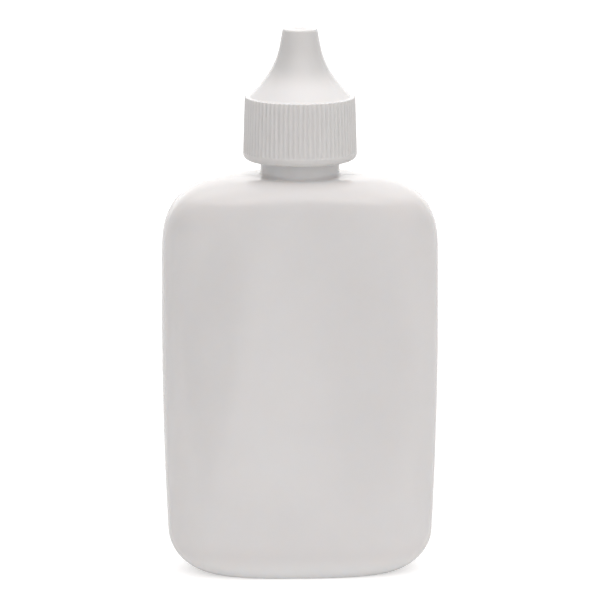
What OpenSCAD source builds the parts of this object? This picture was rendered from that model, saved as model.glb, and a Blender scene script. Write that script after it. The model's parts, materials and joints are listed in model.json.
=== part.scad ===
// Flat oval squeeze bottle with a press-in dropper tip and a ribbed screw cap.
// Millimetres, +Z up, origin at the middle of the base, +X across the broad face.

/* [Bottle] */
// Width across the broad face, at its widest
body_w = 50.4; // [46:0.2:54]
// Depth from front to back
body_d = 25.6; // [24:0.2:29]
// Height of the shoulder, where the neck starts
shoulder_z = 73.1; // [66:0.1:80]
// Height at which the body is widest
belly_z = 45.4; // [35:0.2:55]
// Plan outline: 2 is an ellipse, a higher number is squarer
squareness = 2.8; // [2.4:0.1:3.4]
// Wall thickness
wall = 0.9; // [0.7:0.05:1.2]
// How far the narrow sides lean in towards the base
toe_in = 1.45; // [0.5:0.05:2]
// Depth of the hollow under the base
push_up = 1; // [0.6:0.1:1.5]

/* [Neck] */
// Radius of the plain neck below the thread
neck_r = 7.15; // [7:0.05:7.3]
// Radius of the neck tube under the thread
finish_r = 7.4; // [7.35:0.05:7.45]
// Radius of the neck's bore
bore_r = 5.6; // [5.2:0.05:5.9]
// Height of the neck's top edge
land_z = 85.1; // [84.8:0.1:85.2]

/* [Thread] */
// Rise of the thread in one turn
pitch = 3.175; // [3:0.025:3.2]
// Turns of thread on the neck
neck_turns = 1.5; // [1:0.1:1.6]
// Crest radius of the thread on the neck
neck_crest_r = 8.35; // [8.1:0.05:8.4]
// Crest radius of the thread in the cap
cap_crest_r = 7.75; // [7.7:0.05:8]

/* [Cap] */
// Height of the skirt's lower edge
cap_z = 76; // [75.6:0.1:76.2]
// Rib crest radius at the bottom of the skirt
skirt_r = 10.35; // [10.2:0.05:10.8]
// Rib crest radius at the deck
deck_r = 10.05; // [9.9:0.05:10.1]
// Height of the flat deck
deck_z = 87.5; // [87.4:0.1:87.8]
// Number of ribs round the skirt
rib_count = 70; // [36:1:90]
// Height of a rib
rib_h = 0.24; // [0.2:0.02:0.34]
// Radius of the bore in the skirt
cap_bore_r = 8.75; // [8.7:0.05:8.85]
// Height of the closed tip
tip_z = 99.9; // [99.7:0.1:101]
// Radius of the closed tip
tip_r = 3.17; // [3.1:0.05:3.4]

/* [Dropper tip] */
// Radial running clearance of the plug in the neck
plug_gap = 0.03; // [0.02:0.01:0.08]
// Length of the plug below its flange
plug_len = 7.5; // [5:0.5:9]
// Radius of the flange
flange_r = 7.3; // [7:0.05:7.35]
// Radius of the drop orifice
orifice_r = 0.45; // [0.42:0.01:0.6]
// Height of the nozzle's end
nozzle_z = 97.4; // [96.8:0.1:97.6]
// Radius of the nozzle's end
nozzle_r = 1.6; // [1.5:0.05:1.7]
// Radius of the nozzle's foot on the flange
nozzle_foot_r = 4.8; // [4.6:0.1:5]

/* [Hidden] */
eps = 0.05;

// Body: corner radii at the base, dome height on the narrow and broad sides
corner_w = 8.2;
corner_d = 3;
corner_h = 7.5;
dome_w_h = 14.3;
dome_w_n = 2.76;
dome_d_h = 4;
head_in = 0.2;
toe_power = 1.9;
toe_in_d = toe_in / 4;
hollow_share = 0.82;
neck_fillet = 0.7;
floor_z = push_up + wall;
throat_r = bore_r - 0.15;
finish_z = cap_z + 0.2;
chamfer = 0.3;
OUTER_SIDES = 56;
INNER_SIDES = 44;

// Thread: half heights of the ridge at its root and crest, and where it starts
ridge_root = 0.85;
ridge_crest = 0.3;
ridge_sink = 0.25;
ridge_start = 0.1;
thread_z = 78.6;
fade_deg = 40;
step_deg = 7.5;
cap_thread_drop = pitch / 2 - 0.45;
cap_thread_from = 20;
cap_thread_to = 520;

// Cap: bottom rounding, smooth rim, ceiling, cone and the pin that plugs the orifice
rim_round = 1.2;
rim_z = cap_z + rim_round + 0.2;
rib_sink = 0.15;
rib_inset = 0.02;
deck_chamfer = 0.2;
foot_fillet = 0.15;
rib_foot = 1.24;
rib_crest = 0.6;
ceiling_z = deck_z - 1.2;
cone_lean = 42;
tip_lean = 9.5;
flare_r = 13.5;
tip_straight = 2.9;
flare_top_z = tip_z - tip_straight;
flare_top_r = tip_r + tip_straight * tan(tip_lean);
flare_foot_z = flare_top_z - flare_r * (sin(cone_lean) - sin(tip_lean));
flare_foot_r = flare_top_r + flare_r * (cos(tip_lean) - cos(cone_lean));
cone_foot_r = min(
    flare_foot_r + (flare_foot_z - deck_z) * tan(cone_lean),
    deck_r - rib_h - deck_chamfer - 2 * foot_fillet
);
edge_round = 0.3;
cavity_r = 6.3;
cavity_top_z = tip_z - 1.6;
// Hollow of the cone as [radius, distance below its top]
cavity = [[1.9, 0], [2.2, 1.6], [2.9, 4.3], [4.6, 7]];
pin_r = orifice_r - 0.07;
pin_z = nozzle_z - 1.2;

// Dropper: flange, and the hollow that narrows to the orifice
flange_z = land_z + 0.02;
flange_top_z = flange_z + 1.08;
plug_r = bore_r - plug_gap;
plug_wall = 0.95;
plug_lead = [0.4, 0.8];
// Nozzle's outside and its hollow as [radius, distance below the nozzle's end]
nozzle = [[2.6, 6.2], [1.9, 3], [nozzle_r, chamfer], [nozzle_r - chamfer, 0]];
nozzle_hollow = [[orifice_r, 0], [orifice_r, 2.2], [0.95, 3], [1.5, 6.4], [3.5, nozzle_z - flange_top_z]];

// Rise of a superelliptic quarter, from 0 at t = 0 to 1 at t = 1
function quarter(t, n) = pow(max(0, 1 - pow(1 - min(1, t), n)), 1 / n);

// Half size of the plain wall at height z: a long barrel that toes in below the belly
function wall_half(z, half, toe) =
    half - toe * pow(max(0, (belly_z - z) / belly_z), toe_power)
    - head_in * pow(max(0, (z - belly_z) / (shoulder_z - belly_z)), 2);

// Half size at height z of the body drawn in by t: base corner, wall, then dome up to the root
function body_half(z, half, toe, corner, dome_h, dome_n, t, low_z, root) =
    let (
        side = wall_half(z, half, toe) - t,
        low = (z - low_z) / (corner_h - t),
        high = (shoulder_z - t - z) / (dome_h - t)
    )
    high < 1
        ? root + (side - root) * quarter(high, dome_n)
        : side - (corner - t) * (1 - quarter(low, 2));

// One ring of the body as [half width, half depth, exponent, height]
function body_ring(z, t, low_z, root) = [
    body_half(z, body_w / 2, toe_in, corner_w, dome_w_h, dome_w_n, t, low_z, root),
    body_half(z, body_d / 2, toe_in_d, corner_d, dome_d_h, 2, t, low_z, root),
    2 + (squareness - 2) * min(1, (shoulder_z - t - z) / dome_d_h),
    z
];

// Ring heights: close together round the base corner and towards the top of the dome
function body_heights(t, low_z, corner_steps, wall_steps, dome_steps) =
    let (corner_top = low_z + corner_h - t, dome_foot = shoulder_z - dome_w_h)
    concat(
        [for (i = [0 : corner_steps - 1]) low_z + (corner_h - t) * (1 - cos(90 * i / corner_steps))],
        [for (i = [0 : wall_steps - 1]) corner_top + (dome_foot - corner_top) * i / wall_steps],
        [for (i = [0 : dome_steps])
            shoulder_z - t - (dome_w_h - t) * pow(1 - i / dome_steps, 2)]
    );

// Points of one superelliptic ring
function ring_points(ring, sides) = [
    for (i = [0 : sides - 1])
        let (c = cos(360 * i / sides), s = sin(360 * i / sides), e = 2 / ring[2])
        [ring[0] * sign(c) * pow(abs(c), e), ring[1] * sign(s) * pow(abs(s), e), ring[3]]
];

// Closed solid through a stack of rings, flat at both ends
module loft(rings, sides) {
    count = len(rings);
    points = [for (ring = rings) each ring_points(ring, sides)];
    skin = [
        for (i = [0 : count - 2], j = [0 : sides - 1])
            let (a = i * sides + j, b = i * sides + (j + 1) % sides)
            each [[a, a + sides, b + sides], [a, b + sides, b]]
    ];
    ends = [[for (j = [0 : sides - 1]) j], [for (j = [sides - 1 : -1 : 0]) (count - 1) * sides + j]];
    polyhedron(points, concat(skin, ends), convexity = 6);
}

// One turn-by-turn ridge: a trapezoid carried along the helix, sunk into its wall at both ends
module thread_ridge(root_r, crest_r, start_z, from_deg, to_deg) {
    steps = ceil((to_deg - from_deg) / step_deg);
    function crest_at(a) =
        let (fade = min(1, (a - from_deg) / fade_deg, (to_deg - a) / fade_deg))
        root_r + (crest_r - root_r) * (ridge_start + (1 - ridge_start) * sin(90 * fade));
    function corner(a, r, h) = [r * cos(a), r * sin(a), start_z + pitch * a / 360 + h];
    points = [
        for (i = [0 : steps])
            let (a = from_deg + (to_deg - from_deg) * i / steps, r = crest_at(a))
            each [
                corner(a, root_r, -ridge_root),
                corner(a, r, -ridge_crest),
                corner(a, r, ridge_crest),
                corner(a, root_r, ridge_root)
            ]
    ];
    inward = crest_r < root_r;
    skin = [
        for (i = [0 : steps - 1], j = [0 : 3])
            let (a = i * 4 + j, b = i * 4 + (j + 1) % 4)
            each inward ? [[a, a + 4, b + 4], [a, b + 4, b]] : [[a, b + 4, a + 4], [a, b, b + 4]]
    ];
    first = inward ? [0, 1, 2, 3] : [3, 2, 1, 0];
    last = [for (j = first) steps * 4 + 3 - j];
    polyhedron(points, concat(skin, [first, last]), convexity = 8);
}

// Outside of the body: hollow under the base, body, root fillet and the plain neck
module body_outside() {
    foot = body_ring(0, 0, 0, neck_r + neck_fillet);
    hollow = [
        for (s = [0.25, 0.5, 0.75, 1])
            let (r = hollow_share * s)
            [r * foot[0], r * foot[1], foot[2], push_up * pow(1 - s * s, 2)]
    ];
    body = [for (z = body_heights(0, 0, 6, 7, 13)) body_ring(z, 0, 0, neck_r + neck_fillet)];
    fillet = [
        for (i = [1 : 3])
            let (k = i / 3, r = neck_r + neck_fillet * (1 - quarter(k, 2)))
            [r, r, 2, shoulder_z + neck_fillet * k]
    ];
    top = [[neck_r, neck_r, 2, finish_z + 0.2]];
    loft(concat(hollow, body, fillet, top), OUTER_SIDES);
}

// Inside of the body, drawn in by the wall, up into the neck's bore
module body_inside() {
    body = [for (z = body_heights(wall, floor_z, 4, 5, 9)) body_ring(z, wall, floor_z, throat_r)];
    top = [[throat_r, throat_r, 2, shoulder_z + wall]];
    loft(concat(body, top), INNER_SIDES);
}

// Threaded tube of the neck with its bore, chamfered at the top edge
module neck_finish() {
    rotate_extrude($fn = 96)
        polygon([
            [bore_r - eps, finish_z],
            [finish_r, finish_z],
            [finish_r, land_z - chamfer],
            [finish_r - chamfer, land_z],
            [bore_r - eps, land_z]
        ]);
    thread_ridge(finish_r - ridge_sink, neck_crest_r, thread_z, 0, 360 * neck_turns);
}

module bottle() {
    color([0.93, 0.93, 0.92])
        difference() {
            union() {
                body_outside();
                neck_finish();
            }
            body_inside();
            translate([0, 0, shoulder_z + 0.2])
                cylinder(r = bore_r, h = land_z - shoulder_z + 1, $fn = 96);
        }
}

// Press-in dropper: plug, flange and tapered nozzle with a hollow that narrows to the orifice
module dropper_tip() {
    bottom_z = flange_z - plug_len;
    plug_and_flange = [
        [plug_r - plug_wall, bottom_z],
        [plug_r - plug_lead[0], bottom_z],
        [plug_r, bottom_z + plug_lead[1]],
        [plug_r, flange_z],
        [flange_r, flange_z],
        [flange_r, flange_top_z - chamfer],
        [flange_r - chamfer, flange_top_z],
        [nozzle_foot_r, flange_top_z],
        [nozzle_foot_r - chamfer, flange_top_z + chamfer]
    ];
    nozzle_points = [for (p = concat(nozzle, nozzle_hollow)) [p[0], nozzle_z - p[1]]];
    color([0.95, 0.95, 0.93])
        rotate_extrude($fn = 96)
            polygon(concat(plug_and_flange, nozzle_points, [[plug_r - plug_wall, flange_z - 1]]));
}

// Outline of the cap's moulding without its ribs, half of the section
module cap_section() {
    root_r = skirt_r - rib_h;
    root_top_r = deck_r - rib_h;
    foot = [
        for (a = [0 : 18 : 90])
            [skirt_r - rim_round + rim_round * sin(a), cap_z + rim_round * (1 - cos(a))]
    ];
    deck = [
        [skirt_r, rim_z],
        [root_r, rim_z + rib_sink],
        [root_top_r, deck_z - deck_chamfer],
        [root_top_r - deck_chamfer, deck_z],
        [cone_foot_r + foot_fillet, deck_z],
        [cone_foot_r - eps, deck_z + foot_fillet]
    ];
    flare = [
        for (i = [0 : 6])
            let (a = cone_lean + (tip_lean - cone_lean) * i / 6)
            let (r = flare_top_r + flare_r * (cos(tip_lean) - cos(a)))
            [r, flare_top_z - flare_r * (sin(a) - sin(tip_lean))]
    ];
    tip = [
        for (a = [0 : 30 : 90])
            [tip_r - edge_round * (1 - cos(a)), tip_z - edge_round * (1 - sin(a))]
    ];
    inside = [
        [0, tip_z],
        [0, pin_z],
        [pin_r - 0.12, pin_z],
        [pin_r, pin_z + chamfer],
        [pin_r, cavity_top_z],
        for (p = cavity) [p[0], cavity_top_z - p[1]],
        [cavity_r, deck_z - chamfer],
        [cavity_r, ceiling_z],
        [cap_bore_r, ceiling_z],
        [cap_bore_r, cap_z + 0.4],
        [cap_bore_r + 0.25, cap_z]
    ];
    polygon(concat(foot, deck, flare, tip, inside));
}

// One rib: a tapered ridge that leans with the skirt's draft, from the smooth rim to the deck
module rib() {
    lean = atan((skirt_r - deck_r) / (deck_z - rim_z));
    half_w = PI * skirt_r / rib_count / 2;
    translate([skirt_r - rib_inset, 0, rim_z])
        rotate([0, -lean, 0])
            linear_extrude(height = (deck_z - deck_chamfer / 2 - rim_z) / cos(lean))
                polygon([
                    [-rib_h - rib_sink, -rib_foot * half_w],
                    [0, -rib_crest * half_w],
                    [0, rib_crest * half_w],
                    [-rib_h - rib_sink, rib_foot * half_w]
                ]);
}

module cap() {
    color([0.9, 0.9, 0.89]) {
        rotate_extrude($fn = 96)
            cap_section();
        for (i = [0 : rib_count - 1])
            rotate([0, 0, 360 * i / rib_count])
                rib();
        thread_ridge(cap_bore_r + ridge_sink, cap_crest_r, thread_z - cap_thread_drop,
            cap_thread_from, cap_thread_to);
    }
}

bottle();
dropper_tip();
cap();
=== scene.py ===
"""Flat oval squeeze bottle with its dropper tip and ribbed screw cap, in metres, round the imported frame."""

import json
import math

import bpy
import numpy as np
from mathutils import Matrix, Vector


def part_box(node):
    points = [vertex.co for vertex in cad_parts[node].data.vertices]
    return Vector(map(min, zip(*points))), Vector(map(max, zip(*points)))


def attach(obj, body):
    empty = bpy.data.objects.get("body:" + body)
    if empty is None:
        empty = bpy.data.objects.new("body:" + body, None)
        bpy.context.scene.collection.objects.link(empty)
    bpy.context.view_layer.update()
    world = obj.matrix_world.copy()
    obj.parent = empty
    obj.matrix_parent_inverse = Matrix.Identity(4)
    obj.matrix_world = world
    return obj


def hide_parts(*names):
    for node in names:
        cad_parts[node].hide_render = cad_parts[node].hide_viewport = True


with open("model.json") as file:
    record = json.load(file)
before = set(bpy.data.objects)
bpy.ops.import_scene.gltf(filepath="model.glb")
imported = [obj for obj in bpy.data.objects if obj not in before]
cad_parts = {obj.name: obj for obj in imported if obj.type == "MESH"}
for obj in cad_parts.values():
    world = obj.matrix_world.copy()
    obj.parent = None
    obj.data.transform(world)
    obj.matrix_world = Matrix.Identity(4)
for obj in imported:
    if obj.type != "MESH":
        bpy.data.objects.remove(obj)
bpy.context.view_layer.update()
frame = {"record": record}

MM = 0.001
TAU = 2 * math.pi

# Sizes read from the frame
BOTTLE_LOW, BOTTLE_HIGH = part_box("bottle")
CAP_LOW, CAP_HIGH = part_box("cap")
DROPPER_LOW, DROPPER_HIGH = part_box("dropper_tip")

BODY_HALF_W = BOTTLE_HIGH.x
BODY_HALF_D = BOTTLE_HIGH.y
LAND_Z = BOTTLE_HIGH.z
CAP_Z = CAP_LOW.z
TIP_Z = CAP_HIGH.z
SKIRT_R = CAP_HIGH.x
PLUG_Z = DROPPER_LOW.z
NOZZLE_Z = DROPPER_HIGH.z
FLANGE_R = DROPPER_HIGH.x
PITCH = frame["record"]["behaviour"]["couplings"][0]["ratio"] * TAU

# Bottle: the shape between those sizes
SHOULDER_Z = 73.1 * MM
BELLY_Z = 45.4 * MM
WALL = 0.9 * MM
SQUARENESS = 2.8
TOE_IN = 1.45 * MM
TOE_POWER = 1.9
HEAD_IN = 0.2 * MM
CORNER_W, CORNER_D, CORNER_H = 8.2 * MM, 3.0 * MM, 7.5 * MM
DOME_W_H, DOME_W_N, DOME_D_H = 14.3 * MM, 2.76, 4.0 * MM
PUSH_UP = 1.0 * MM
HOLLOW_SHARE = 0.82
NECK_R, NECK_FILLET = 7.15 * MM, 0.7 * MM
FINISH_R, BORE_R = 7.4 * MM, 5.6 * MM
THROAT_R = BORE_R - 0.15 * MM
FINISH_Z = CAP_Z + 0.6 * MM
SEAM_H, SEAM_HALF_W = 0.035 * MM, 0.13 * MM

# Threads: a trapezoid ridge on the neck, and one in the cap a little under half a pitch below it
THREAD_Z = 78.6 * MM
NECK_TURNS = 1.5
NECK_CREST_R, CAP_CREST_R = 8.35 * MM, 7.75 * MM
RIDGE_ROOT, RIDGE_CREST = 0.85 * MM, 0.3 * MM
CAP_THREAD_Z = THREAD_Z - PITCH / 2 + 0.45 * MM
CAP_THREAD_TURNS = (20 / 360, 520 / 360)
FADE = math.radians(40)

# Cap
DECK_R, DECK_Z = 10.05 * MM, 87.5 * MM
RIB_COUNT, RIB_STEPS, RIB_H = 70, 6, 0.24 * MM
RIM_ROUND = 1.2 * MM
RIM_Z = CAP_Z + RIM_ROUND + 0.2 * MM
CAP_BORE_R = 8.75 * MM
CEILING_Z = DECK_Z - 1.2 * MM
DECK_ROUND, DECK_EDGE = 0.18 * MM, 0.3 * MM
TIP_R, TIP_ROUND, DIMPLE = 3.17 * MM, 0.3 * MM, 0.1 * MM
CONE_LEAN, TIP_LEAN = math.radians(42), math.radians(9.5)
FLARE_R = 13.5 * MM
TIP_STRAIGHT = 2.9 * MM
FLARE_TOP_Z = TIP_Z - TIP_STRAIGHT
FLARE_TOP_R = TIP_R + TIP_STRAIGHT * math.tan(TIP_LEAN)
CONE_FOOT_R = 9.3 * MM
CAVITY_R, CAVITY_TOP_Z = 6.3 * MM, TIP_Z - 1.6 * MM

# Dropper tip
ORIFICE_R = 0.45 * MM
PIN_R, PIN_Z = ORIFICE_R - 0.07 * MM, NOZZLE_Z - 1.2 * MM
PLUG_R, PLUG_WALL = BORE_R - 0.03 * MM, 0.95 * MM
FLANGE_Z = LAND_Z + 0.02 * MM
FLANGE_TOP_Z = FLANGE_Z + 1.08 * MM
NOZZLE_R, NOZZLE_FOOT_R = 1.55 * MM, 4.75 * MM


# ---------------------------------------------------------------- shapes


def turns(count, pinch=0.0):
    """Angles round the axis, count of them. With pinch they crowd towards +X and -X:
    angle = u - pinch / 2 * sin 2u."""
    u = np.arange(count) / count * TAU
    return u - pinch / 2 * np.sin(2 * u)


def quarter(t, n):
    """Superelliptic quarter, from 0 at t = 0 to 1 at t = 1: (1 - (1 - t)^n)^(1/n)."""
    return np.maximum(0, 1 - (1 - np.clip(t, 0, 1)) ** n) ** (1 / n)


def smooth(t):
    """Soft step from 0 to 1: 3 t^2 - 2 t^3."""
    t = np.clip(t, 0, 1)
    return t * t * (3 - 2 * t)


def body_half(z, half, toe, corner, dome_h, dome_n, wall, low_z, root):
    """Half size of the body at height z, drawn in by wall: a barrel that toes in below the belly, less a
    quarter-round at the base, and above the dome's foot a superelliptic quarter from the wall to the
    neck's root."""
    below = np.clip((BELLY_Z - z) / BELLY_Z, 0, None)
    above = np.clip((z - BELLY_Z) / (SHOULDER_Z - BELLY_Z), 0, None)
    side = half - toe * below**TOE_POWER - HEAD_IN * above**2 - wall
    foot = (corner - wall) * (1 - quarter((z - low_z) / (CORNER_H - wall), 2))
    rise = (SHOULDER_Z - wall - z) / (dome_h - wall)
    return np.where(rise < 1, root + (side - root) * quarter(rise, dome_n), side - foot)


def body_rings(z, wall, low_z, root):
    """Rings of the body at heights z, as columns half width, half depth, exponent and height."""
    half_w = body_half(z, BODY_HALF_W, TOE_IN, CORNER_W, DOME_W_H, DOME_W_N, wall, low_z, root)
    half_d = body_half(z, BODY_HALF_D, TOE_IN / 4, CORNER_D, DOME_D_H, 2, wall, low_z, root)
    exponent = 2 + (SQUARENESS - 2) * smooth((SHOULDER_Z - wall - z) / DOME_D_H)
    return np.stack([half_w, half_d, exponent, z], axis=1)


def body_heights(wall, low_z, corner_rows, wall_rows, dome_rows):
    """Ring heights: evenly turned round the base corner, even on the wall, and crowding to the top of the
    dome."""
    corner = low_z + (CORNER_H - wall) * (1 - np.cos(np.linspace(0, math.pi / 2, corner_rows, False)))
    foot, head = low_z + CORNER_H - wall, SHOULDER_Z - DOME_W_H
    dome = SHOULDER_Z - wall - (DOME_W_H - wall) * (1 - np.linspace(0, 1, dome_rows)) ** 2.2
    return np.concatenate([corner, np.linspace(foot, head, wall_rows, False), dome])


def round_rings(profile):
    """Round rings from (radius, height) points."""
    profile = np.asarray(profile)
    return np.stack([profile[:, 0], profile[:, 0], np.full(len(profile), 2.0), profile[:, 1]], axis=1)


def ring_grid(rings, angles):
    """Points of every ring at every angle: the direction (cos, sin) divided by its own n-norm, times the half
    width a and half depth b, which lies on the superellipse |x/a|^n + |y/b|^n = 1."""
    c, s = np.cos(angles)[None, :], np.sin(angles)[None, :]
    n = rings[:, 2:3]
    norm = (np.abs(c) ** n + np.abs(s) ** n) ** (1 / n)
    x = rings[:, 0:1] * c / norm
    y = rings[:, 1:2] * s / norm
    return np.stack([x, y, np.broadcast_to(rings[:, 3:4], x.shape)], axis=2)


def densify(profile, step):
    """A profile with straight runs cut into pieces no longer than step, each corner kept."""
    profile = np.asarray(profile, float)
    lengths = np.linalg.norm(np.diff(profile, axis=0), axis=1)
    counts = np.maximum(1, np.ceil(lengths / step).astype(int))
    pieces = [
        a + (b - a) * np.linspace(0, 1, n, False)[:, None]
        for a, b, n in zip(profile[:-1], profile[1:], counts)
    ]
    return np.concatenate(pieces + [profile[-1:]])


def eased(profile, radius, rows=5):
    """A profile whose inner corners are rounded: each is a quadratic curve that leaves the straight runs at
    radius from the corner, or at 45% of a shorter run."""
    p = np.asarray(profile, float)
    out = [p[:1]]
    t = np.linspace(0, 1, rows)[:, None]
    for before, corner, after in zip(p[:-2], p[1:-1], p[2:]):
        to_b, to_a = before - corner, after - corner
        b_len, a_len = np.linalg.norm(to_b), np.linalg.norm(to_a)
        reach = min(radius, 0.45 * b_len, 0.45 * a_len)
        start, end = corner + to_b / b_len * reach, corner + to_a / a_len * reach
        out.append((1 - t) ** 2 * start + 2 * t * (1 - t) * corner + t**2 * end)
    out.append(p[-1:])
    return np.concatenate(out)


def thread_height(angles, z, start_z, turns_from, turns_to):
    """Height of a thread ridge, 0 to 1, at every angle and height: a trapezoid about the nearest turn of the
    helix z = start + pitch * angle / turn, which dies out over FADE at both ends."""
    base = start_z + PITCH * angles[None, :] / TAU
    turn = np.round((z - base) / PITCH)
    along = angles[None, :] / TAU + turn
    off = np.abs(z - base - turn * PITCH)
    ridge = np.clip((RIDGE_ROOT - off) / (RIDGE_ROOT - RIDGE_CREST), 0, 1)
    fade = np.minimum(along - turns_from, turns_to - along) * TAU / FADE
    return smooth(ridge) * smooth(fade)


def grid_normals(points):
    """Unit normals of a grid whose columns close into rings: across the columns times along the rows."""
    along = np.gradient(points, axis=0)
    across = np.roll(points, -1, axis=1) - np.roll(points, 1, axis=1)
    normal = np.cross(across, along)
    return normal / np.maximum(np.linalg.norm(normal, axis=2, keepdims=True), 1e-12)


def raised(points, height):
    """A grid moved along its own normals by height."""
    return points + grid_normals(points) * height[:, :, None]


def skin(name, points, poles=None):
    """Mesh from a grid of rings: quads between rows, columns closed. With poles, a fan of triangles closes
    each end on that point; without, the last row meets the first."""
    rows, columns = points.shape[:2]
    i = np.arange(rows - 1 if poles is not None else rows)[:, None] * columns
    j = np.arange(columns)[None, :]
    k = (j + 1) % columns
    up = (i + columns) % (rows * columns)
    quads = np.stack([i + j, i + k, up + k, up + j], axis=2).reshape(-1, 4)
    vertices = points.reshape(-1, 3)
    faces = quads.tolist()
    if poles is not None:
        vertices = np.concatenate([vertices, np.asarray(poles, float)])
        first, last = rows * columns, rows * columns + 1
        top = (rows - 1) * columns
        fan_in = np.stack([np.full(columns, first), k[0], j[0]], axis=1)
        fan_out = np.stack([np.full(columns, last), top + j[0], top + k[0]], axis=1)
        faces += fan_in.tolist() + fan_out.tolist()
    mesh = bpy.data.meshes.new(name)
    mesh.from_pydata(vertices.tolist(), [], faces)
    mesh.polygons.foreach_set("use_smooth", np.ones(len(mesh.polygons), bool))
    mesh.validate()
    piece = bpy.data.objects.new(name, mesh)
    bpy.context.scene.collection.objects.link(piece)
    return piece


# ---------------------------------------------------------------- pieces


def bottle_rings():
    """Rings of the whole bottle wall, from the middle of the base up the outside and down the inside, and how
    many of them lie outside."""
    root = NECK_R + NECK_FILLET
    foot = body_rings(np.array([0.0]), 0, 0, root)[0]
    s = np.linspace(0.04, 1, 12)[:-1]
    hollow = np.stack(
        [
            foot[0] * HOLLOW_SHARE * s,
            foot[1] * HOLLOW_SHARE * s,
            np.full(len(s), foot[2]),
            PUSH_UP * (1 - s**2) ** 2,
        ],
        axis=1,
    )
    flat = np.array([[foot[0] * f, foot[1] * f, foot[2], 0] for f in (HOLLOW_SHARE, HOLLOW_SHARE + 0.1)])
    body = body_rings(body_heights(0, 0, 18, 26, 46), 0, 0, root)
    k = np.linspace(0, 1, 9)[1:]
    fillet = np.stack([NECK_R + NECK_FILLET * (1 - quarter(k, 2)), SHOULDER_Z + NECK_FILLET * k], axis=1)
    lip = eased(
        [
            [NECK_R, SHOULDER_Z + NECK_FILLET],
            [NECK_R, FINISH_Z - 0.2 * MM],
            [FINISH_R, FINISH_Z],
            [FINISH_R, LAND_Z],
            [BORE_R, LAND_Z],
            [BORE_R, SHOULDER_Z + 0.2 * MM],
            [THROAT_R, SHOULDER_Z],
            [THROAT_R, SHOULDER_Z - WALL],
        ],
        0.25 * MM,
        4,
    )
    neck = densify(lip, 0.11 * MM)
    inner_z = body_heights(WALL, PUSH_UP + WALL, 9, 10, 20)[:-1][::-1]
    inside = body_rings(inner_z, WALL, PUSH_UP + WALL, THROAT_R)
    floor = inside[-1] * np.array([[share, share, 1, 1] for share in (0.7, 0.35, 0.05)])

    # The plain bore needs only every fifth row
    keep = (neck[:, 0] > BORE_R + 1e-6) | (np.arange(len(neck)) % 5 == 0)
    neck = neck[keep]
    rings = np.concatenate([hollow, flat, body, round_rings(fillet), round_rings(neck[1:]), inside, floor])
    return rings, len(hollow) + len(flat) + len(body) + len(fillet) + len(neck) // 2


def make_bottle():
    """The bottle as one closed shell. The thread stretches the finish outwards, and the mould's parting line
    is a ridge at y = 0 whose height is a bell curve of y."""
    angles = turns(288, pinch=0.6)
    rings, outer_count = bottle_rings()
    points = ring_grid(rings, angles)
    z = points[:, :, 2]
    ridge = thread_height(angles, z, THREAD_Z, 0, NECK_TURNS)
    radius = np.hypot(points[:, :, 0], points[:, :, 1])
    on_finish = (radius > FINISH_R - 0.02 * MM) & (z > FINISH_Z - 0.1 * MM)
    grow = np.where(on_finish, 1 + ridge * (NECK_CREST_R - FINISH_R) / FINISH_R, 1)
    points[:, :, :2] *= grow[:, :, None]

    outer = np.arange(len(rings)) < outer_count
    seam = np.exp(-((points[:, :, 1] / SEAM_HALF_W) ** 2)) * SEAM_H
    seam *= smooth((z - 0.4 * MM) / MM) * outer[:, None] * (1 - ridge)
    seam *= smooth((LAND_Z - 0.8 * MM - z) / MM)
    points = raised(points, seam)
    return skin("bottle_shell", points, [[0, 0, PUSH_UP], [0, 0, PUSH_UP + WALL]])


def make_dropper_tip():
    """The dropper plug: a closed ring of rows up the outside of plug, flange and nozzle and down the
    inside."""
    profile = eased(
        [
            [PLUG_R - 0.5 * PLUG_WALL, PLUG_Z],
            [PLUG_R - 0.35 * MM, PLUG_Z],
            [PLUG_R, PLUG_Z + 0.9 * MM],
            [PLUG_R, FLANGE_Z],
            [FLANGE_R, FLANGE_Z],
            [FLANGE_R, FLANGE_TOP_Z],
            [NOZZLE_FOOT_R, FLANGE_TOP_Z],
            [2.6 * MM, NOZZLE_Z - 6.2 * MM],
            [1.85 * MM, NOZZLE_Z - 3 * MM],
            [NOZZLE_R, NOZZLE_Z],
            [ORIFICE_R, NOZZLE_Z],
            [ORIFICE_R, NOZZLE_Z - 2.2 * MM],
            [0.95 * MM, NOZZLE_Z - 3 * MM],
            [1.5 * MM, NOZZLE_Z - 6.4 * MM],
            [3.5 * MM, FLANGE_TOP_Z],
            [PLUG_R - PLUG_WALL, FLANGE_Z - MM],
            [PLUG_R - PLUG_WALL, PLUG_Z],
            [PLUG_R - 0.5 * PLUG_WALL, PLUG_Z],
        ],
        0.5 * MM,
        7,
    )
    profile = densify(profile, 0.35 * MM)[:-1]
    return skin("dropper_plug", ring_grid(round_rings(profile), turns(144)))


def cap_cone():
    """Outside of the cone from the deck up: fillet, straight flare, arc into the steeper tip, rounded edge.
    The arc's lean runs evenly from the cone's to the tip's, at FLARE_R."""
    lean = np.linspace(CONE_LEAN, TIP_LEAN, 22)
    arc_r = FLARE_TOP_R + FLARE_R * (math.cos(TIP_LEAN) - np.cos(lean))
    arc_z = FLARE_TOP_Z - FLARE_R * (np.sin(lean) - math.sin(TIP_LEAN))
    a = np.linspace(0, math.pi / 2, 7)
    tip = np.stack([TIP_R - TIP_ROUND * (1 - np.cos(a)), TIP_Z - TIP_ROUND * (1 - np.sin(a))], axis=1)
    land = [DECK_R - DECK_EDGE, DECK_Z]
    bend = eased([land, [CONE_FOOT_R, DECK_Z], [arc_r[0], arc_z[0]]], 0.45 * MM, 7)[1:-1]
    return np.concatenate([densify(bend, 0.3 * MM), np.stack([arc_r, arc_z], axis=1), tip])


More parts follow.
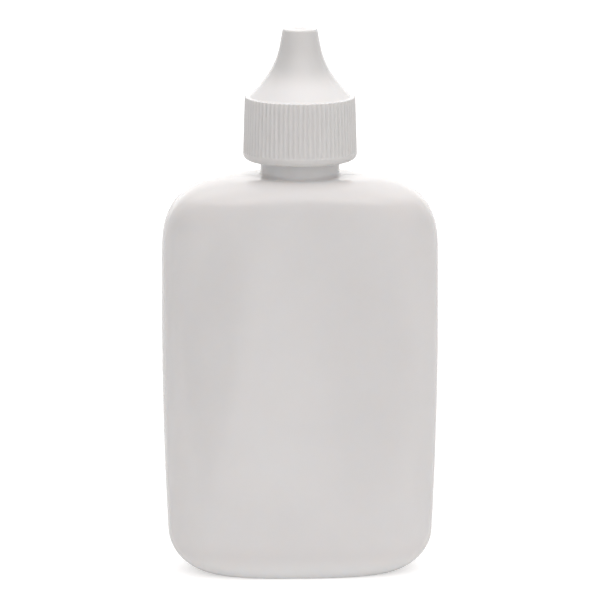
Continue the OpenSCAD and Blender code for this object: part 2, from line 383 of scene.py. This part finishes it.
def cap_inside():
    """Profile of the cap's inside, from the pin's end up round the cone's hollow to the top of the bore."""
    corners = [
        [PIN_R * 0.4, PIN_Z],
        [PIN_R - 0.1 * MM, PIN_Z],
        [PIN_R, PIN_Z + 0.3 * MM],
        [PIN_R, CAVITY_TOP_Z],
        [1.9 * MM, CAVITY_TOP_Z],
        [2.2 * MM, CAVITY_TOP_Z - 1.6 * MM],
        [2.9 * MM, CAVITY_TOP_Z - 4.3 * MM],
        [4.6 * MM, CAVITY_TOP_Z - 7 * MM],
        [CAVITY_R, DECK_Z - 0.3 * MM],
        [CAVITY_R, CEILING_Z],
        [CAP_BORE_R, CEILING_Z],
    ]
    return densify(eased(corners, 0.3 * MM, 3), 1.2 * MM)


def cap_skirt():
    """Profile of the skirt, leaning evenly from the rim to the deck, with its rows close together where the
    ribs begin, and the small round at the deck's edge."""
    begin = [RIM_Z - 0.02 * MM, RIM_Z + 0.06 * MM]
    z = np.concatenate([begin, np.linspace(RIM_Z + 0.2 * MM, DECK_Z - DECK_ROUND, 9)])
    r = SKIRT_R + (DECK_R - SKIRT_R) * (z - RIM_Z) / (DECK_Z - RIM_Z)
    a = np.linspace(0, math.pi / 2, 9)[2::2]
    edge = np.stack([DECK_R - DECK_ROUND * (1 - np.cos(a)), DECK_Z - DECK_ROUND * (1 - np.sin(a))], axis=1)
    return np.concatenate([np.stack([r, z], axis=1), edge])


def make_cap():
    """The cap as one closed shell: pin, cavity, threaded bore, rounded rim, ribbed skirt, deck, cone and flat
    tip with the gate's dimple. The ribs are what is left between grooves whose depth is a raised cosine."""
    angles = turns(RIB_COUNT * RIB_STEPS)
    inside = cap_inside()
    bore = densify([[CAP_BORE_R, CEILING_Z], [CAP_BORE_R, CAP_Z + 0.4 * MM]], 0.14 * MM)[1:]
    mouth = np.array([[CAP_BORE_R + 0.12 * MM, CAP_Z + 0.12 * MM]])
    a = np.linspace(0, math.pi / 2, 9)
    rim = np.stack([SKIRT_R - RIM_ROUND * (1 - np.sin(a)), CAP_Z + RIM_ROUND * (1 - np.cos(a))], axis=1)
    skirt = cap_skirt()
    deck = np.array([[DECK_R - DECK_EDGE, DECK_Z]])
    dimple_z = TIP_Z - DIMPLE
    dimple = np.array(
        [[2.2 * MM, TIP_Z], [0.75 * MM, TIP_Z], [0.55 * MM, TIP_Z - 0.6 * DIMPLE], [0.15 * MM, dimple_z]]
    )
    profile = np.concatenate([inside, bore, mouth, rim, skirt, deck, cap_cone(), dimple])
    points = ring_grid(round_rings(profile), angles)
    rows = np.arange(len(profile))
    z = points[:, :, 2]

    in_bore = (rows >= len(inside) - 1) & (rows < len(inside) + len(bore))
    ridge = thread_height(angles, z, CAP_THREAD_Z, *CAP_THREAD_TURNS) * in_bore[:, None]
    points[:, :, :2] *= (1 - ridge * (CAP_BORE_R - CAP_CREST_R) / CAP_BORE_R)[:, :, None]

    first_skirt = len(inside) + len(bore) + len(mouth) + len(rim)
    on_skirt = (rows >= first_skirt) & (rows < first_skirt + len(skirt) + len(deck))
    groove = (0.5 - 0.5 * np.cos(RIB_COUNT * angles)) ** 1.3
    depth = RIB_H * groove[None, :] * smooth((z - RIM_Z) / (0.18 * MM)) * on_skirt[:, None]
    radius = np.hypot(points[:, :, 0], points[:, :, 1])
    points[:, :, :2] *= (1 - depth / radius)[:, :, None]
    return skin("screw_cap", points, [[0, 0, PIN_Z], [0, 0, dimple_z]])


# ---------------------------------------------------------------- materials


def link(tree, source, target):
    """Joins an output to an input."""
    tree.links.new(source, target)


def noise(tree, vector, scale, detail=3.0, roughness=0.5):
    """Cloudy noise from 0 to 1, with scale clouds to a metre."""
    node = tree.nodes.new("ShaderNodeTexNoise")
    node.inputs["Scale"].default_value = scale
    node.inputs["Detail"].default_value = detail
    node.inputs["Roughness"].default_value = roughness
    link(tree, vector, node.inputs["Vector"])
    return node.outputs["Fac"]


def span(tree, value, low, high):
    """Maps 0..1 to low..high."""
    node = tree.nodes.new("ShaderNodeMapRange")
    node.inputs["To Min"].default_value = low
    node.inputs["To Max"].default_value = high
    link(tree, value, node.inputs["Value"])
    return node.outputs["Result"]


def shade(tree, value, dark, light, low=0.3, high=0.7):
    """Colour between two shades as value goes from low to high."""
    ramp = tree.nodes.new("ShaderNodeValToRGB")
    ramp.color_ramp.elements[0].position = low
    ramp.color_ramp.elements[0].color = (*dark, 1)
    ramp.color_ramp.elements[1].position = high
    ramp.color_ramp.elements[1].color = (*light, 1)
    link(tree, value, ramp.inputs["Fac"])
    return ramp.outputs["Color"]


def bump(tree, height, strength, distance, before=None):
    """Normal tilted by a height, on top of the one before it."""
    node = tree.nodes.new("ShaderNodeBump")
    node.inputs["Strength"].default_value = strength
    node.inputs["Distance"].default_value = distance
    link(tree, height, node.inputs["Height"])
    if before is not None:
        link(tree, before, node.inputs["Normal"])
    return node.outputs["Normal"]


def stretched(tree, coordinates, scale):
    """Object coordinates with each axis scaled, for grain that runs one way."""
    node = tree.nodes.new("ShaderNodeMapping")
    node.inputs["Scale"].default_value = scale
    link(tree, coordinates, node.inputs["Vector"])
    return node.outputs["Vector"]


def band(tree, place, z0, z1, z2, z3):
    """Soft band by height: 0 below z0, 1 from z1 to z2, 0 again above z3."""
    split = tree.nodes.new("ShaderNodeSeparateXYZ")
    link(tree, place, split.inputs["Vector"])
    both = tree.nodes.new("ShaderNodeMath")
    both.operation = "MULTIPLY"
    for side, (z_from, z_to) in enumerate([(z0, z1), (z3, z2)]):
        node = tree.nodes.new("ShaderNodeMapRange")
        node.interpolation_type = "SMOOTHSTEP"
        node.inputs["From Min"].default_value = z_from
        node.inputs["From Max"].default_value = z_to
        link(tree, split.outputs["Z"], node.inputs["Value"])
        link(tree, node.outputs["Result"], both.inputs[side])
    return both.outputs["Value"]


def whiten_as_painted_light(tree, colour, white, amount):
    """Colour turned towards white by amount: painted light, which makes a band look more brightly lit."""
    mix = tree.nodes.new("ShaderNodeMix")
    mix.data_type = "RGBA"
    link(tree, amount, mix.inputs["Factor"])
    link(tree, colour, mix.inputs["A"])
    mix.inputs["B"].default_value = (*white, 1)
    return mix.outputs["Result"]


def plastic(name, dark, light, rough, wave, grain, soft, depth, painted_light_bands=(), white=(1, 1, 1)):
    """Moulded plastic: cloudy shade between dark and light, roughness that drifts, a slow waviness of the
    skin, a fine grain, and a little light carried under the surface. Each band of heights in thick gets
    painted light: there the colour turns towards white, as if that band were more brightly lit."""
    material = bpy.data.materials.new(name)
    material.use_nodes = True
    tree = material.node_tree
    tree.nodes.clear()
    output = tree.nodes.new("ShaderNodeOutputMaterial")
    shader = tree.nodes.new("ShaderNodeBsdfPrincipled")
    link(tree, shader.outputs["BSDF"], output.inputs["Surface"])
    place = tree.nodes.new("ShaderNodeTexCoord").outputs["Object"]
    cloud = noise(tree, place, 90, 4, 0.55)
    colour = shade(tree, cloud, dark, light)
    # painted light: each band in thick turns the colour towards white
    for heights in painted_light_bands:
        colour = whiten_as_painted_light(tree, colour, white, band(tree, place, *heights))
    link(tree, colour, shader.inputs["Base Color"])
    drawn = noise(tree, stretched(tree, place, (1, 1, 0.25)), 260, 3)
    link(tree, span(tree, drawn, rough[0], rough[1]), shader.inputs["Roughness"])
    slow = bump(tree, noise(tree, place, 110, 2), wave, 0.0004)
    fine = bump(tree, noise(tree, place, 2600, 2), grain, 0.00003, slow)
    link(tree, fine, shader.inputs["Normal"])
    shader.inputs["IOR"].default_value = 1.5
    shader.inputs["Subsurface Weight"].default_value = soft
    shader.inputs["Subsurface Radius"].default_value = (1.0, 0.92, 0.85)
    shader.inputs["Subsurface Scale"].default_value = depth
    return material


def dress(piece, material, body, node):
    """Gives a piece its material and its body, and hides the CAD node it stands for."""
    piece.data.materials.append(material)
    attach(piece, body)
    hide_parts(node)


bottle = make_bottle()
dropper = make_dropper_tip()
cap = make_cap()

dress(
    bottle,
    plastic(
        "bottle_polyethylene", (0.83, 0.81, 0.80), (0.85, 0.83, 0.82), (0.14, 0.19), 0.04, 0.02, 1.0, 0.0015,
        # Painted light: the neck, from the shoulder to the land, and the base's edge turn whiter, lifting the
        # shade under the cap and along the foot.
        painted_light_bands=[
            (SHOULDER_Z - 0.5 * MM, SHOULDER_Z + MM, LAND_Z, LAND_Z + MM),
            (-2 * MM, -MM, 0.5 * MM, 5 * MM),
        ],
        white=(0.97, 0.955, 0.94),
    ),
    "bottle",
    "bottle",
)
dress(
    dropper,
    plastic(
        "dropper_polyethylene", (0.80, 0.80, 0.78), (0.84, 0.84, 0.82), (0.24, 0.3), 0.03, 0.03, 0.35, 0.001
    ),
    "dropper",
    "dropper_tip",
)
dress(
    cap,
    plastic(
        "cap_polypropylene", (0.75, 0.745, 0.737), (0.77, 0.765, 0.757), (0.2, 0.24), 0.0, 0.02, 0.5, 0.0008,
        # Painted light: the cone's foot, just above the deck, turns whiter, as strong light from above would
        # make it.
        painted_light_bands=[(DECK_Z - 0.2 * MM, DECK_Z, DECK_Z + 1.5 * MM, DECK_Z + 6 * MM)], white=(0.94, 0.925, 0.92),
    ),
    "cap",
    "cap",
)


# ---------------------------------------------------------------- studio

CAMERA_DISTANCE = 1.096
CAMERA_RISE = math.radians(10.15)
CAMERA_TURN = math.radians(2.86)
LENS = 360


def make_sheet(name, low, high, z, shade_of_grey, glow):
    """A flat matte rectangle on the floor, between two corners."""
    mesh = bpy.data.meshes.new(name)
    corners = [(low[0], low[1], z), (high[0], low[1], z), (high[0], high[1], z), (low[0], high[1], z)]
    mesh.from_pydata(corners, [], [(0, 1, 2, 3)])
    sheet = bpy.data.objects.new(name, mesh)
    bpy.context.scene.collection.objects.link(sheet)
    material = bpy.data.materials.new(name)
    material.use_nodes = True
    shader = material.node_tree.nodes["Principled BSDF"]
    shader.inputs["Base Color"].default_value = (shade_of_grey, shade_of_grey, shade_of_grey, 1)
    shader.inputs["Roughness"].default_value = 0.9
    shader.inputs["Specular IOR Level"].default_value = 0.2
    shader.inputs["Emission Color"].default_value = (1, 1, 1, 1)
    shader.inputs["Emission Strength"].default_value = glow
    mesh.materials.append(material)
    return sheet


def make_floor():
    """White paper that only the camera sees, over a table that only the object sees. On the table, in front
    of the object, lie a black card to the left, a grey one to the right and a glowing one between them,
    which give the plastic's gloss something to show."""
    half = 12.0
    paper = make_sheet("paper", (-half, -half), (half, half), 0, 0.75, 0.45)
    paper.visible_diffuse = paper.visible_glossy = paper.visible_transmission = paper.visible_shadow = False
    sheets = [
        make_sheet("table", (-half, -half), (half, half), -0.0004, 0.75, 0.1),
        make_sheet("card_left", (-0.26, -0.50), (-0.065, -0.07), -0.0002, 0.02, 0.0),
        make_sheet("card_right", (0.021, -0.50), (0.22, -0.09), -0.0002, 0.3, 0.0),
        make_sheet("card_middle", (-0.065, -0.50), (0.021, -0.07), -0.0002, 0.75, 0.45),
    ]
    for sheet in sheets:
        sheet.visible_camera = False


# Studio light as soft patches of the sky: direction, the cosines where a patch starts and is full, brightness
WARM, PLAIN = (1.0, 0.96, 0.955), (1.0, 0.985, 0.98)
PATCHES = [
    ((0, 0, 1), 0.2, 0.8, PLAIN, 0.60),
    ((0, 0, 1), 0.55, 0.95, PLAIN, 0.35),
    ((0, 1, 0), 0.2, 0.7, PLAIN, 0.67),
    ((0, 1, 0), 0.75, 1.0, PLAIN, 0.8),
    ((0, -1, 0), 0.2, 0.9, WARM, 0.46),
    ((0.7071, -0.7071, 0), 0.6, 0.95, WARM, 0.16),
    ((0, -0.6, 0.8), 0.75, 0.97, WARM, 0.74),
    ((0.6, 0, 0.8), 0.75, 0.97, PLAIN, 0.18),
]


def make_world():
    """Sum of soft patches, each a smooth step of the cosine between the ray and the patch's direction."""
    world = bpy.data.worlds.new("studio")
    bpy.context.scene.world = world
    world.use_nodes = True
    tree = world.node_tree
    ray = tree.nodes.new("ShaderNodeTexCoord").outputs["Generated"]
    total = None
    for axis, start, full, colour, brightness in PATCHES:
        cosine = tree.nodes.new("ShaderNodeVectorMath")
        cosine.operation = "DOT_PRODUCT"
        cosine.inputs[1].default_value = axis
        link(tree, ray, cosine.inputs[0])
        step = tree.nodes.new("ShaderNodeMapRange")
        step.interpolation_type = "SMOOTHSTEP"
        step.inputs["From Min"].default_value = start
        step.inputs["From Max"].default_value = full
        step.inputs["To Max"].default_value = brightness
        link(tree, cosine.outputs["Value"], step.inputs["Value"])
        patch = tree.nodes.new("ShaderNodeVectorMath")
        patch.operation = "SCALE"
        patch.inputs[0].default_value = colour
        link(tree, step.outputs["Result"], patch.inputs["Scale"])
        glow = patch.outputs["Vector"]
        if total is not None:
            add = tree.nodes.new("ShaderNodeVectorMath")
            link(tree, total, add.inputs[0])
            link(tree, glow, add.inputs[1])
            glow = add.outputs["Vector"]
        total = glow
    link(tree, total, tree.nodes["Background"].inputs["Color"])


def make_camera():
    """Long lens, aimed level with the object's middle from a little above and to its left."""
    data = bpy.data.cameras.new("camera")
    data.lens = LENS
    data.sensor_width = 36
    data.clip_start = 0.05
    data.clip_end = 100
    camera = bpy.data.objects.new("camera", data)
    bpy.context.scene.collection.objects.link(camera)
    level = CAMERA_DISTANCE * math.cos(CAMERA_RISE)
    aim_z = (BOTTLE_LOW.z + TIP_Z) / 2
    camera.location = (
        -level * math.sin(CAMERA_TURN),
        -level * math.cos(CAMERA_TURN),
        aim_z + CAMERA_DISTANCE * math.sin(CAMERA_RISE),
    )
    camera.rotation_euler = (math.pi / 2 - CAMERA_RISE, 0, -CAMERA_TURN)
    bpy.context.scene.camera = camera


make_floor()
make_world()
make_camera()
bpy.context.scene.view_settings.view_transform = "Standard"
